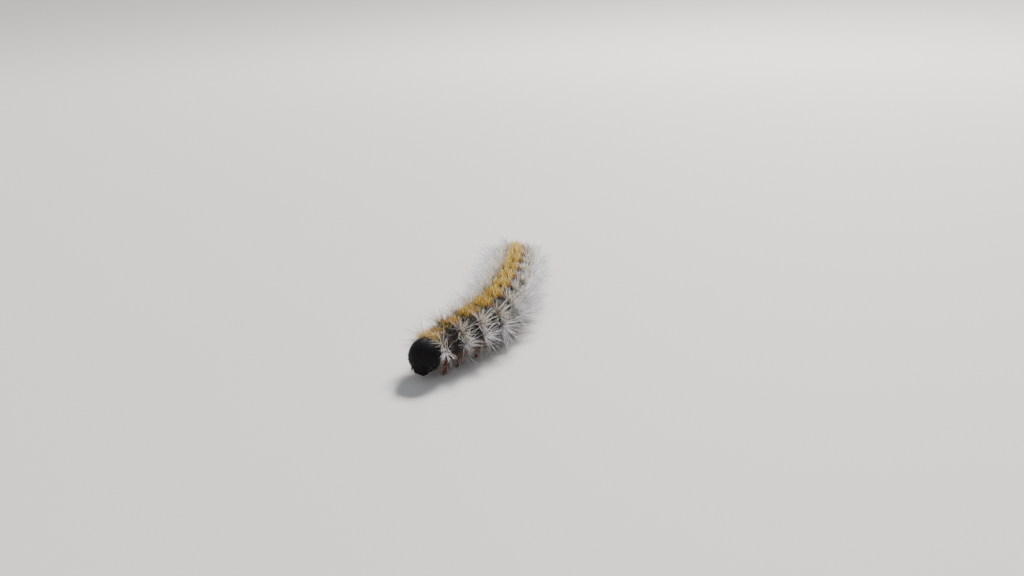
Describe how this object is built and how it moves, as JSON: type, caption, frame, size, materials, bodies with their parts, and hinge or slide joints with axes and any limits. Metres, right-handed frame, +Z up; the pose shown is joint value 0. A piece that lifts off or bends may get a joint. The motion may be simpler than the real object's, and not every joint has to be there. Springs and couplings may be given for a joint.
{
  "type": "pine processionary moth larva",
  "caption": "Still life-size larva walking, with a round black head, golden hair tufts along the back, long white side hair, short legs and prolegs.",
  "frame": {"origin": "on the floor under the middle of the model's bounding box", "axes": "+Z up, -Y the way the larva walks, +X its left side"},
  "size_m": [0.0218, 0.0448, 0.0079],
  "materials": {
    "antenna": "pale brown",
    "hairy_skin": "dark skin under golden back hair and long white side hair",
    "head_capsule": "hard black shell, slightly granular, satin",
    "leg": "hard red-brown, jointed",
    "mouthparts": "hard dark brown",
    "proleg": "soft brown flesh"
  },
  "bodies": {
    "root": {"abdomen_1": "hairy_skin", "abdomen_10": "hairy_skin", "abdomen_2": "hairy_skin", "abdomen_3": "hairy_skin", "abdomen_4": "hairy_skin", "abdomen_5": "hairy_skin", "abdomen_6": "hairy_skin", "abdomen_7": "hairy_skin", "abdomen_8": "hairy_skin", "abdomen_9": "hairy_skin", "antenna_left": "antenna", "antenna_right": "antenna", "clasper_left": "proleg", "clasper_right": "proleg", "head": "head_capsule", "labrum": "mouthparts", "leg_mesothorax_left": "leg", "leg_mesothorax_right": "leg", "leg_metathorax_left": "leg", "leg_metathorax_right": "leg", "leg_prothorax_left": "leg", "leg_prothorax_right": "leg", "mandible_left": "mouthparts", "mandible_right": "mouthparts", "mesothorax": "hairy_skin", "metathorax": "hairy_skin", "proleg_abdomen_3_left": "proleg", "proleg_abdomen_3_right": "proleg", "proleg_abdomen_4_left": "proleg", "proleg_abdomen_4_right": "proleg", "proleg_abdomen_5_left": "proleg", "proleg_abdomen_5_right": "proleg", "proleg_abdomen_6_left": "proleg", "proleg_abdomen_6_right": "proleg", "prothorax": "hairy_skin", "spinneret": "mouthparts"}
  },
  "joints": []
}
